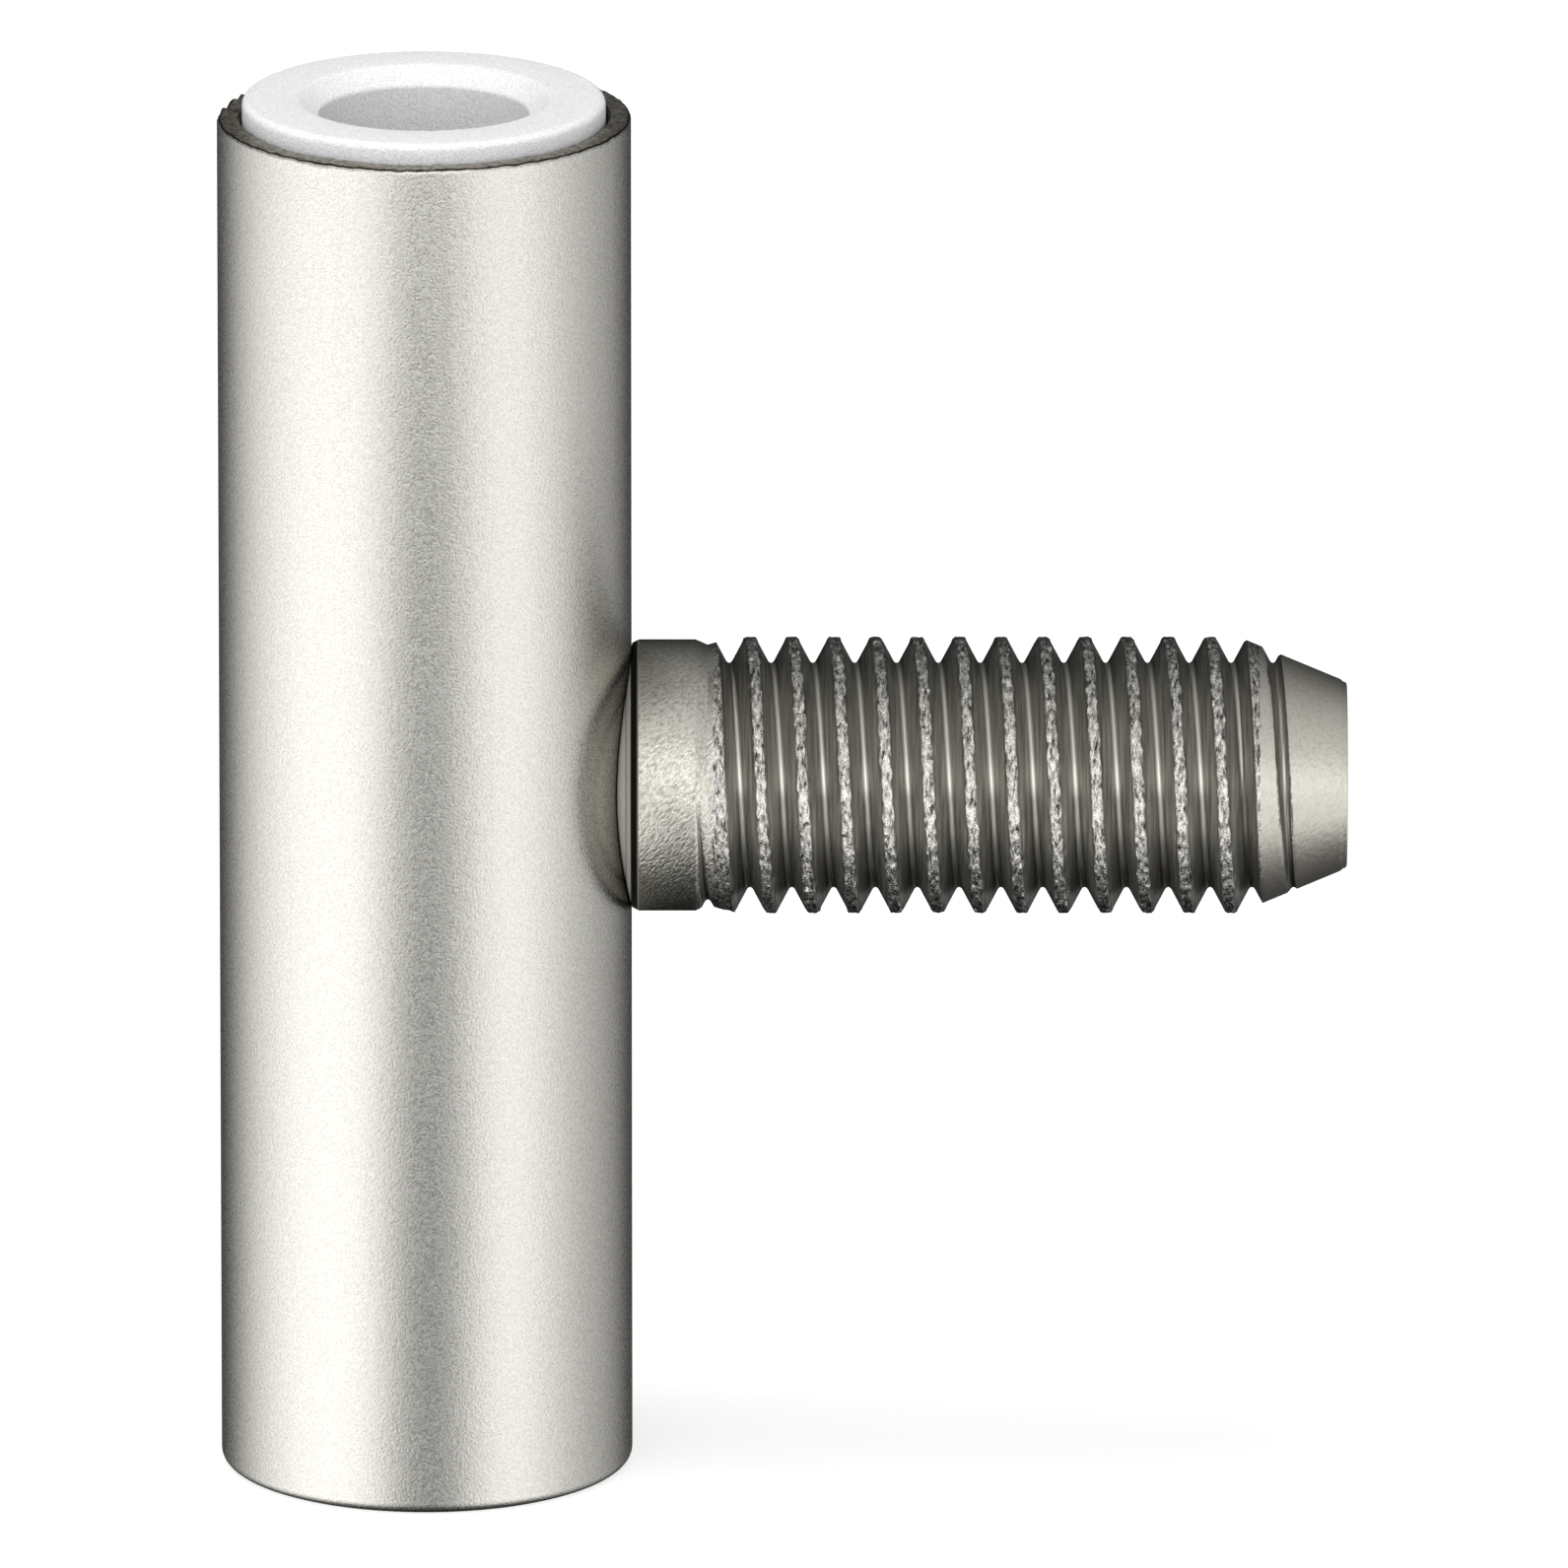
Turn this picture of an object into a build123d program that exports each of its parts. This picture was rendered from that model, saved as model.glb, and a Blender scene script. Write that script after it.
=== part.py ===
"""Frame half of a screw-in door hinge.

A satin nickel knuckle stands upright. A white plastic bush is pressed into its open
top and takes the hinge pin of the door half. A threaded stud with a plain collar is
welded into the side of the knuckle and screws into the door frame.

Frame: origin at the centre of the knuckle's flat bottom face, +Z up along the hinge
pin, +X out along the stud. All lengths are in millimetres.
"""

import os
from math import atan2, cos, degrees, radians, tan

from build123d import *

# Knuckle
knuckle_diameter = 14.8
knuckle_height = 50.0
knuckle_bottom_round = 0.4
rim_wall = 0.8
rim_outer_round = 0.15
rim_inner_chamfer = 0.08
drill_point_half_angle = 59.0

# Bush
pin_bore_diameter = 7.5
funnel_width = 0.75
funnel_depth = 0.6
funnel_mouth_round = 0.12
bush_head_gap = 0.1
bush_head_seat_depth = 3.0
bush_stand_out = 0.7
bush_head_round = 0.28
bush_shank_wall = 1.25
bush_shank_length = 15.0
bush_shank_chamfer = 0.4
bush_end_gap = 0.4

# Stud, with lengths along +X
stud_height = 25.5
stud_reach = 25.65
spigot_diameter = 5.0
wall_behind_spigot = 3.4
seat_half_angle = 75.0
seat_edge_lift = 0.02
seat_edge_diameter = 9.5
collar_diameter = 9.74
collar_chamfer_length = 0.24
collar_length = 2.02
neck_chamfer_length = 0.44
neck_diameter = 9.36
crest_rise_length = 1.05
tip_half_angle = 22.5
tip_end_diameter = 6.7
tip_edge_round = 0.12

# Thread, metric coarse 10 mm, right-hand
thread_diameter = 9.94
thread_pitch = 1.5
thread_depth = 0.92
thread_flank_angle = 30.0
thread_root_flat = 0.17
collar_to_first_groove = 1.28
groove_overshoot = 0.1
groove_fade_clearance = 0.01
fade_start_angle = 45.0
fade_end_angle = 270.0

# Derived sizes of the knuckle and its bush
knuckle_radius = knuckle_diameter / 2
counterbore_radius = knuckle_radius - rim_wall
head_radius = counterbore_radius - bush_head_gap
pin_radius = pin_bore_diameter / 2
shank_radius = pin_radius + bush_shank_wall
funnel_radius = pin_radius + funnel_width
shoulder_z = knuckle_height - bush_head_seat_depth
shank_end_z = shoulder_z - bush_shank_length
bore_floor_z = shank_end_z - bush_end_gap
bush_top_z = knuckle_height + bush_stand_out
drill_point_depth = pin_radius / tan(radians(drill_point_half_angle))

# Derived sizes of the stud
stud_axis = Axis((0, 0, stud_height), (1, 0, 0))
spigot_radius = spigot_diameter / 2
seat_edge_radius = seat_edge_diameter / 2
collar_radius = collar_diameter / 2
neck_radius = neck_diameter / 2
thread_radius = thread_diameter / 2
root_radius = thread_radius - thread_depth
tip_end_radius = tip_end_diameter / 2
spigot_end_x = wall_behind_spigot - knuckle_radius
seat_edge_x = knuckle_radius + seat_edge_lift
seat_root_x = seat_edge_x - (seat_edge_radius - spigot_radius) / tan(radians(seat_half_angle))
collar_start_x = seat_edge_x + collar_chamfer_length
collar_end_x = collar_start_x + collar_length
neck_x = collar_end_x + neck_chamfer_length
first_full_crest_x = neck_x + crest_rise_length
stud_tip_x = knuckle_radius + stud_reach
tip_start_x = stud_tip_x - (thread_radius - tip_end_radius) / tan(radians(tip_half_angle))

# Derived sizes of the thread's groove
full_turn = 360.0
top_groove_x = collar_end_x + collar_to_first_groove
fading_groove_x = top_groove_x - thread_pitch * (1 - fade_start_angle / full_turn)
full_groove_x = top_groove_x - thread_pitch * (1 - fade_end_angle / full_turn)
fade_length = full_groove_x - fading_groove_x
fade_radius = thread_radius + groove_fade_clearance
fade_cone = atan2(fade_radius - root_radius, fade_length)
root_half_width = thread_root_flat / 2
groove_profile_depth = thread_depth + groove_overshoot
mouth_half_width = root_half_width + groove_profile_depth * tan(radians(thread_flank_angle))


def groove_corners(groove_x: float, floor_radius: float) -> list[tuple[float, float]]:
    """Corners of the thread groove's section, as (x, distance from the stud's axis)."""
    mouth_radius = floor_radius + groove_profile_depth
    return [
        (groove_x - root_half_width, floor_radius),
        (groove_x + root_half_width, floor_radius),
        (groove_x + mouth_half_width, mouth_radius),
        (groove_x - mouth_half_width, mouth_radius),
    ]


os.makedirs("parts", exist_ok=True)

# Hinge knuckle: a turned steel sleeve, closed at the bottom, with a stepped blind bore
# for the bush and a shallow drilled seat in its side for the stud
with BuildPart() as hinge_knuckle:
    with BuildSketch(Plane.XZ) as knuckle_section:
        with BuildLine() as knuckle_outline:
            Polyline(
                (0, 0),
                (knuckle_radius, 0),
                (knuckle_radius, knuckle_height),
                (counterbore_radius, knuckle_height),
                (counterbore_radius, shoulder_z),
                (shank_radius, shoulder_z),
                (shank_radius, bore_floor_z),
                (pin_radius, bore_floor_z),
                (0, bore_floor_z - drill_point_depth),
                close=True,
            )
        make_face()
        fillet(
            knuckle_section.vertices().sort_by_distance((knuckle_radius, 0))[0],
            radius=knuckle_bottom_round,
        )
        fillet(
            knuckle_section.vertices().sort_by_distance((knuckle_radius, knuckle_height))[0],
            radius=rim_outer_round,
        )
        chamfer(
            knuckle_section.vertices().sort_by_distance((counterbore_radius, knuckle_height))[0],
            length=rim_inner_chamfer,
        )
    revolve(axis=Axis.Z)
    with BuildSketch(Plane.XZ) as seat_section:
        with BuildLine() as seat_outline:
            Polyline(
                (spigot_end_x, stud_height),
                (spigot_end_x, stud_height + spigot_radius),
                (seat_root_x, stud_height + spigot_radius),
                (seat_edge_x, stud_height + seat_edge_radius),
                (collar_start_x, stud_height + seat_edge_radius),
                (collar_start_x, stud_height),
                close=True,
            )
        make_face()
    revolve(axis=stud_axis, mode=Mode.SUBTRACT)

# Bearing bush: a headed plastic sleeve with a funnel mouth that guides the pin in
with BuildPart() as bearing_bush:
    with BuildSketch(Plane.XZ) as bush_section:
        with BuildLine() as bush_outline:
            Polyline(
                (pin_radius, shank_end_z),
                (shank_radius, shank_end_z),
                (shank_radius, shoulder_z),
                (head_radius, shoulder_z),
                (head_radius, bush_top_z),
                (funnel_radius, bush_top_z),
                (pin_radius, bush_top_z - funnel_depth),
                close=True,
            )
        make_face()
        fillet(
            bush_section.vertices().sort_by_distance((head_radius, bush_top_z))[0],
            radius=bush_head_round,
        )
        fillet(
            bush_section.vertices().sort_by_distance((funnel_radius, bush_top_z))[0],
            radius=funnel_mouth_round,
        )
        chamfer(
            bush_section.vertices().sort_by_distance((shank_radius, shank_end_z))[0],
            length=bush_shank_chamfer,
        )
    revolve(axis=Axis.Z)

# Full-depth groove of the thread, swept along a right-hand helix about the X axis
with BuildPart() as full_groove:
    with BuildLine() as full_path:
        Helix(
            pitch=thread_pitch,
            height=stud_tip_x - full_groove_x,
            radius=root_radius,
            center=(full_groove_x, 0, 0),
            direction=(1, 0, 0),
        )
    with BuildSketch(Plane.XZ) as full_profile:
        with BuildLine():
            Polyline(*groove_corners(full_groove_x, root_radius), close=True)
        make_face()
    sweep(path=full_path.wire(), is_frenet=True)

# Start of the groove beside the collar, where it deepens along a cone
with BuildPart() as fading_groove:
    with BuildLine() as fading_path:
        Helix(
            pitch=thread_pitch / cos(fade_cone),
            height=fade_length,
            radius=fade_radius,
            center=(fading_groove_x, 0, 0),
            direction=(1, 0, 0),
            cone_angle=-degrees(fade_cone),
        )
    with BuildSketch(Plane.XZ) as fading_profile:
        with BuildLine():
            Polyline(*groove_corners(fading_groove_x, fade_radius), close=True)
        make_face()
    sweep(path=fading_path.wire(), is_frenet=True)

# Threaded stud: spigot, conical welding seat, plain collar, threaded shank, plain tip
with BuildPart() as threaded_stud:
    with BuildSketch(Plane.XZ) as stud_section:
        with BuildLine() as stud_outline:
            Polyline(
                (spigot_end_x, stud_height),
                (spigot_end_x, stud_height + spigot_radius),
                (seat_root_x, stud_height + spigot_radius),
                (seat_edge_x, stud_height + seat_edge_radius),
                (collar_start_x, stud_height + collar_radius),
                (collar_end_x, stud_height + collar_radius),
                (neck_x, stud_height + neck_radius),
                (first_full_crest_x, stud_height + thread_radius),
                (tip_start_x, stud_height + thread_radius),
                (stud_tip_x, stud_height + tip_end_radius),
                (stud_tip_x, stud_height),
                close=True,
            )
        make_face()
        fillet(
            stud_section.vertices().sort_by_distance(
                (stud_tip_x, stud_height + tip_end_radius)
            )[0],
            radius=tip_edge_round,
        )
    revolve(axis=stud_axis)
    with Locations((0, 0, stud_height)):
        add(fading_groove.part, rotation=(fade_start_angle, 0, 0), mode=Mode.SUBTRACT)
        add(full_groove.part, rotation=(fade_end_angle, 0, 0), mode=Mode.SUBTRACT)

hinge_knuckle.part.label = "hinge_knuckle"
bearing_bush.part.label = "bearing_bush"
threaded_stud.part.label = "threaded_stud"

export_step(hinge_knuckle.part, "parts/hinge_knuckle.step")
export_step(bearing_bush.part, "parts/bearing_bush.step")
export_step(threaded_stud.part, "parts/threaded_stud.step")
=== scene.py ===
import logging
import math
from dataclasses import dataclass
from enum import Enum

import bmesh
import bpy
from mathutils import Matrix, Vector, noise


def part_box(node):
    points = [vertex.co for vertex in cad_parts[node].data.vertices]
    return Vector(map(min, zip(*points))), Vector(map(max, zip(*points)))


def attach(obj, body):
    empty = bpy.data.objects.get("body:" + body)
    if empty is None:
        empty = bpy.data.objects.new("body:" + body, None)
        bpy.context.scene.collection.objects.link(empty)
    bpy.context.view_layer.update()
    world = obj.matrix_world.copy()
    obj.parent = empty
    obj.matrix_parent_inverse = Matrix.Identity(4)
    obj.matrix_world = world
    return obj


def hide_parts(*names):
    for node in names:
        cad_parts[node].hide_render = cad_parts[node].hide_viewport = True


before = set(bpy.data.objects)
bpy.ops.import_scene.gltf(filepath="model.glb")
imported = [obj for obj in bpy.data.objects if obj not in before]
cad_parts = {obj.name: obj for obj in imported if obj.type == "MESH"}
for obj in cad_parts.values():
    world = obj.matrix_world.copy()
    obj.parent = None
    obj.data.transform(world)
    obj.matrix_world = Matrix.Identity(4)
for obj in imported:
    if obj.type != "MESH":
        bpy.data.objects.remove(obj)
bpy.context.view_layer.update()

MM = 0.001
FULL_TURN = 2 * math.pi
STUD_HEIGHT = 25.5 * MM
MERGE_DISTANCE = 0.002 * MM
# Turns the stretched gloss of turned metal from along its marks to across them.
ACROSS_MARKS = 0.25
log = logging.getLogger("hinge_frame_part")


class Node(Enum):
    """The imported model's nodes that this scene dresses."""

    KNUCKLE = "hinge_knuckle"
    BUSH = "bearing_bush"
    STUD = "threaded_stud"


class Slot(Enum):
    """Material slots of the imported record."""

    NICKEL = "satin_nickel"
    ACETAL = "white_acetal"
    STEEL = "rolled_steel"


def linear_colour(hex_value: str) -> tuple[float, float, float, float]:
    """Turn an sRGB hex colour into Blender's linear RGBA.

    Args:
        hex_value: six hex digits, such as "D8D4CC".

    Returns:
        Linear red, green, blue and an alpha of 1.
    """
    channels = [int(hex_value[i:i + 2], 16) / 255 for i in (0, 2, 4)]
    linear = [c / 12.92 if c <= 0.04045 else ((c + 0.055) / 1.055) ** 2.4 for c in channels]
    return (*linear, 1.0)


def add_node(
    tree: bpy.types.NodeTree, kind: str, settings: dict | None = None, links: dict | None = None
) -> bpy.types.Node:
    """Add one node to a tree, with its settings and its incoming links.

    Args:
        tree: the node tree that gets the node.
        kind: the node's bl_idname, without the ShaderNode that it starts with.
        settings: attribute names or input sockets (by name or number) with their values.
            The key "stops" holds a colour ramp's stops, as (position, grey).
        links: input sockets (by name or number) with the output sockets that feed them.

    Returns:
        The new node.
    """
    node = tree.nodes.new("ShaderNode" + kind)
    for key, value in (settings or {}).items():
        if key == "stops":
            elements = node.color_ramp.elements
            elements.remove(elements[-1])
            for position, grey in value:
                stop = elements.new(position) if position > 0 else elements[0]
                stop.color = (grey, grey, grey, 1.0)
        elif isinstance(key, str) and hasattr(node, key):
            setattr(node, key, value)
        else:
            node.inputs[key].default_value = value
    for key, source in (links or {}).items():
        tree.links.new(source, node.inputs[key])
    return node


def new_material(name: str) -> tuple[bpy.types.Material, bpy.types.NodeTree]:
    """Make an empty node material.

    Args:
        name: the material's name.

    Returns:
        The material and its empty node tree.
    """
    material = bpy.data.materials.new(name)
    material.use_nodes = True
    material.node_tree.nodes.clear()
    return material, material.node_tree


def from_stud_axis(tree: bpy.types.NodeTree, place: bpy.types.Node) -> bpy.types.NodeSocket:
    """Measure each shaded point's distance from the stud's axis.

    Args:
        tree: the node tree that gets the nodes.
        place: the tree's texture coordinate node.

    Returns:
        The socket that gives the distance, in metres.
    """
    raised = add_node(
        tree,
        "VectorMath",
        {"operation": "SUBTRACT", 1: (0.0, 0.0, STUD_HEIGHT)},
        {0: place.outputs["Object"]},
    )
    across = add_node(
        tree,
        "VectorMath",
        {"operation": "MULTIPLY", 1: (0.0, 1.0, 1.0)},
        {0: raised.outputs["Vector"]},
    )
    radius = add_node(
        tree, "VectorMath", {"operation": "LENGTH"}, {0: across.outputs["Vector"]}
    )
    return radius.outputs["Value"]


def two_tones(
    tree: bpy.types.NodeTree,
    noise_value: bpy.types.NodeSocket,
    contrast: tuple[float, float],
    tones: tuple[str, str],
) -> bpy.types.NodeSocket:
    """Mix two colours by a noise.

    Args:
        tree: the node tree that gets the nodes.
        noise_value: the socket that gives the noise.
        contrast: the noise's values from which each colour is pure.
        tones: the two colours, as sRGB hex.

    Returns:
        The socket that gives the colour.
    """
    share = add_node(
        tree,
        "MapRange",
        {"From Min": contrast[0], "From Max": contrast[1]},
        {"Value": noise_value},
    )
    mixed = add_node(
        tree,
        "Mix",
        {"data_type": "RGBA", 6: linear_colour(tones[0]), 7: linear_colour(tones[1])},
        {"Factor": share.outputs["Result"]},
    )
    return mixed.outputs[2]


@dataclass(frozen=True)
class SatinNickel:
    """Drawn steel tube, blasted and satin nickel plated.

    Fine blasting under the plate leaves an even sandy grain that breaks up the gloss,
    and the plate gives the grey a faint warm tint. Where the collar meets the sleeve a dark
    line is painted: the weld's scale, and painted shade in the joint.
    """

    peak: str = "E8E6E0"
    valley: str = "CBC9C2"
    scale_and_joint_shade: str = "24211C"
    grazing: str = "6E6E6E"
    roughness: float = 0.285
    # Real blasting is about three times finer, too fine to show at this distance.
    grain_width: float = 0.08 * MM
    grain_depth: float = 0.024 * MM
    speckle: tuple[float, float] = (0.35, 0.65)
    sheen_change: float = 0.05
    # The stud's seat is a cone: x = seat_centre + seat_slope * distance from its axis.
    seat_centre: float = 6.147 * MM
    seat_slope: float = 0.268
    joint_shade_width: float = 0.14 * MM

    def build(self) -> bpy.types.Material:
        """Build the plated finish."""
        material, tree = new_material("satin_nickel_plate")
        place = add_node(tree, "TexCoord")
        grain = add_node(
            tree,
            "TexNoise",
            {"Scale": 1 / self.grain_width, "Detail": 2.0, "Roughness": 0.6},
            {"Vector": place.outputs["Object"]},
        )
        bump = add_node(
            tree,
            "Bump",
            {"Strength": 0.6, "Distance": self.grain_depth},
            {"Height": grain.outputs["Fac"]},
        )
        sheen_spread = add_node(
            tree,
            "MapRange",
            {
                "From Min": 0.3,
                "From Max": 0.7,
                "To Min": self.roughness - self.sheen_change,
                "To Max": self.roughness + self.sheen_change,
            },
            {"Value": grain.outputs["Fac"]},
        )
        plate = two_tones(tree, grain.outputs["Fac"], self.speckle, (self.valley, self.peak))
        parts = add_node(tree, "SeparateXYZ", {}, {"Vector": place.outputs["Object"]})
        radius = from_stud_axis(tree, place)
        # Painted shade with the weld's scale: a dark line along the seat's joint with the
        # sleeve.
        seat = add_node(
            tree,
            "Math",
            {"operation": "MULTIPLY_ADD", 1: self.seat_slope, 2: self.seat_centre},
            {0: radius},
        )
        gap = add_node(
            tree,
            "Math",
            {"operation": "SUBTRACT"},
            {0: seat.outputs["Value"], 1: parts.outputs["X"]},
        )
        joint_shade = add_node(
            tree,
            "MapRange",
            {
                "interpolation_type": "SMOOTHSTEP",
                "From Min": 0.0,
                "From Max": self.joint_shade_width,
                "To Min": 1.0,
                "To Max": 0.0,
            },
            {"Value": gap.outputs["Value"]},
        )
        tint = add_node(
            tree,
            "Mix",
            {"data_type": "RGBA", 7: linear_colour(self.scale_and_joint_shade)},
            {"Factor": joint_shade.outputs["Result"], 6: plate},
        )
        shader = add_node(
            tree,
            "BsdfPrincipled",
            {"Metallic": 1.0, "Specular Tint": linear_colour(self.grazing)},
            {
                "Base Color": tint.outputs[2],
                "Roughness": sheen_spread.outputs["Result"],
                "Normal": bump.outputs["Normal"],
            },
        )
        add_node(tree, "OutputMaterial", {}, {"Surface": shader.outputs["BSDF"]})
        return material


@dataclass(frozen=True)
class CutSteel:
    """Bare sawn steel where the plate is missing.

    Sawing and deburring leave it darker and rougher than the plate, with torn marks.
    """

    name: str = "bare_cut_steel"
    dark: str = "7D786A"
    light: str = "C4BFB3"
    roughness: float = 0.42
    mark_width: float = 0.22 * MM
    mark_depth: float = 0.05 * MM
    contrast: tuple[float, float] = (0.4, 0.6)

    def build(self) -> bpy.types.Material:
        """Build the bare cut edge."""
        material, tree = new_material(self.name)
        place = add_node(tree, "TexCoord")
        marks = add_node(
            tree,
            "TexNoise",
            {"Scale": 1 / self.mark_width, "Detail": 4.0, "Roughness": 0.7},
            {"Vector": place.outputs["Object"]},
        )
        tint = two_tones(tree, marks.outputs["Fac"], self.contrast, (self.dark, self.light))
        bump = add_node(
            tree,
            "Bump",
            {"Strength": 0.6, "Distance": self.mark_depth},
            {"Height": marks.outputs["Fac"]},
        )
        shader = add_node(
            tree,
            "BsdfPrincipled",
            {"Metallic": 1.0, "Roughness": self.roughness},
            {"Base Color": tint, "Normal": bump.outputs["Normal"]},
        )
        add_node(tree, "OutputMaterial", {}, {"Surface": shader.outputs["BSDF"]})
        return material


@dataclass(frozen=True)
class WhiteAcetal:
    """Injection-moulded acetal.

    The opaque cold white has a soft waxy gloss, and the eroded mould gives it a fine
    sparkle of grain with a few shallow ripples.
    """

    colour: str = "F1F1F2"
    valley: str = "DADBDC"
    roughness: float = 0.4
    # The mould's real grain is finer, and is drawn coarser so that it shows.
    grain_width: float = 0.08 * MM
    grain_depth: float = 0.04 * MM
    ripple_width: float = 0.5 * MM
    ripple_depth: float = 0.03 * MM
    speckle: tuple[float, float] = (0.35, 0.6)
    ior: float = 1.48

    def build(self) -> bpy.types.Material:
        """Build the moulded plastic."""
        material, tree = new_material("white_moulded_acetal")
        place = add_node(tree, "TexCoord")
        ripple = add_node(
            tree,
            "TexNoise",
            {"Scale": 1 / self.ripple_width, "Detail": 2.0, "Roughness": 0.5},
            {"Vector": place.outputs["Object"]},
        )
        grain = add_node(
            tree,
            "TexNoise",
            {"Scale": 1 / self.grain_width, "Detail": 1.0, "Roughness": 0.5},
            {"Vector": place.outputs["Object"]},
        )
        rippled = add_node(
            tree,
            "Bump",
            {"Strength": 0.3, "Distance": self.ripple_depth},
            {"Height": ripple.outputs["Fac"]},
        )
        grained = add_node(
            tree,
            "Bump",
            {"Strength": 0.5, "Distance": self.grain_depth},
            {"Height": grain.outputs["Fac"], "Normal": rippled.outputs["Normal"]},
        )
        tint = two_tones(tree, grain.outputs["Fac"], self.speckle, (self.valley, self.colour))
        shader = add_node(
            tree,
            "BsdfPrincipled",
            {"Roughness": self.roughness, "IOR": self.ior},
            {"Base Color": tint, "Normal": grained.outputs["Normal"]},
        )
        add_node(tree, "OutputMaterial", {}, {"Surface": shader.outputs["BSDF"]})
        return material


@dataclass(frozen=True)
class RolledThread:
    """Steel with its thread rolled in, under a thin grey zinc skin.

    The dies burnish the flanks in fine streaks along the thread. The metal that they
    push up meets in the crest as a ragged bright seam, full of small dark pits.
    """

    flank_dark: str = "84827B"
    flank_light: str = "DAD8D0"
    # Painted highlight: the root's band takes this lighter colour.
    root: str = "E4E2DB"
    # The root's band, the painted shade's stops as (depth, tone) and the seam's depth are all
    # measured below the crest, in millimetres, as the mesh's own values are. The painted
    # shade darkens the flanks beside the crest and at their foot by the root.
    root_highlight_band: tuple[float, float] = (0.885, 0.912)
    painted_shade: tuple[tuple[float, float], ...] = (
        (0.0, 0.5),
        (0.12, 0.55),
        (0.26, 1.0),
        (0.7, 1.0),
        (0.8, 0.62),
        (0.92, 0.6),
    )
    seam: str = "F6F4EE"
    pit: str = "36342D"
    seam_depth: float = 0.07
    streak_width: float = 0.06 * MM
    streak_length: float = 3.0 * MM
    streak_depth: float = 0.02 * MM
    streak_contrast: tuple[float, float] = (0.28, 0.72)
    pit_width: float = 0.13 * MM
    pit_length: float = 0.4 * MM
    tear_depth: float = 0.14 * MM
    pit_contrast: tuple[float, float] = (0.34, 0.58)
    flank_roughness: float = 0.33
    seam_roughness: float = 0.2
    turning_spread: float = 0.6

    def build(self) -> bpy.types.Material:
        """Build the rolled finish, which reads how deep each point lies below the crest."""
        material, tree = new_material("rolled_zinc_steel")
        place = add_node(tree, "TexCoord")
        depth = add_node(tree, "Attribute", {"attribute_name": "below_crest"})
        on_seam = add_node(
            tree,
            "MapRange",
            {"From Min": 0.0, "From Max": self.seam_depth, "To Min": 1.0, "To Max": 0.0},
            {"Value": depth.outputs["Fac"]},
        )
        along_thread = add_node(
            tree,
            "Mapping",
            {"Scale": (1 / self.streak_width, 1 / self.streak_length, 1 / self.streak_length)},
            {"Vector": place.outputs["Object"]},
        )
        streaks = add_node(
            tree,
            "TexNoise",
            {"Scale": 1.0, "Detail": 3.0, "Roughness": 0.6},
            {"Vector": along_thread.outputs["Vector"]},
        )
        flank_tones = (self.flank_dark, self.flank_light)
        flank = two_tones(tree, streaks.outputs["Fac"], self.streak_contrast, flank_tones)
        # Painted shade: the flank colour is darkened beside the crest and at the flanks' foot.
        painted_shade = add_node(tree, "ValToRGB", {"stops": self.painted_shade}, {"Fac": depth.outputs["Fac"]})
        shaded = add_node(
            tree,
            "Mix",
            {"data_type": "RGBA", "blend_type": "MULTIPLY", "Factor": 1.0},
            {6: flank, 7: painted_shade.outputs["Color"]},
        )
        # Painted highlight: a band along the root is mixed to the lighter root colour.
        on_root_highlight = add_node(
            tree,
            "MapRange",
            {"From Min": self.root_highlight_band[0], "From Max": self.root_highlight_band[1]},
            {"Value": depth.outputs["Fac"]},
        )
        root_highlighted = add_node(
            tree,
            "Mix",
            {"data_type": "RGBA", 7: linear_colour(self.root)},
            {"Factor": on_root_highlight.outputs["Result"], 6: shaded.outputs[2]},
        )
        along_seam = add_node(
            tree,
            "Mapping",
            {"Scale": (1 / self.pit_width, 1 / self.pit_length, 1 / self.pit_length)},
            {"Vector": place.outputs["Object"]},
        )
        pits = add_node(
            tree,
            "TexNoise",
            {"Scale": 1.0, "Detail": 3.0, "Roughness": 0.7},
            {"Vector": along_seam.outputs["Vector"]},
        )
        seam = two_tones(tree, pits.outputs["Fac"], self.pit_contrast, (self.pit, self.seam))
        tint = add_node(
            tree,
            "Mix",
            {"data_type": "RGBA"},
            {"Factor": on_seam.outputs["Result"], 6: root_highlighted.outputs[2], 7: seam},
        )
        streaked = add_node(
            tree,
            "Bump",
            {"Strength": 0.25, "Distance": self.streak_depth},
            {"Height": streaks.outputs["Fac"]},
        )
        torn = add_node(
            tree,
            "Bump",
            {"Distance": self.tear_depth},
            {
                "Strength": on_seam.outputs["Result"],
                "Height": pits.outputs["Fac"],
                "Normal": streaked.outputs["Normal"],
            },
        )
        gloss = add_node(
            tree,
            "MapRange",
            {"To Min": self.flank_roughness, "To Max": self.seam_roughness},
            {"Value": on_seam.outputs["Result"]},
        )
        turning = add_node(tree, "Tangent", {"direction_type": "RADIAL", "axis": "X"})
        shader = add_node(
            tree,
            "BsdfPrincipled",
            {
                "Metallic": 1.0,
                "Anisotropic": self.turning_spread,
                "Anisotropic Rotation": ACROSS_MARKS,
            },
            {
                "Base Color": tint.outputs[2],
                "Roughness": gloss.outputs["Result"],
                "Normal": torn.outputs["Normal"],
                "Tangent": turning.outputs["Tangent"],
            },
        )
        add_node(tree, "OutputMaterial", {}, {"Surface": shader.outputs["BSDF"]})
        return material


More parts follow.
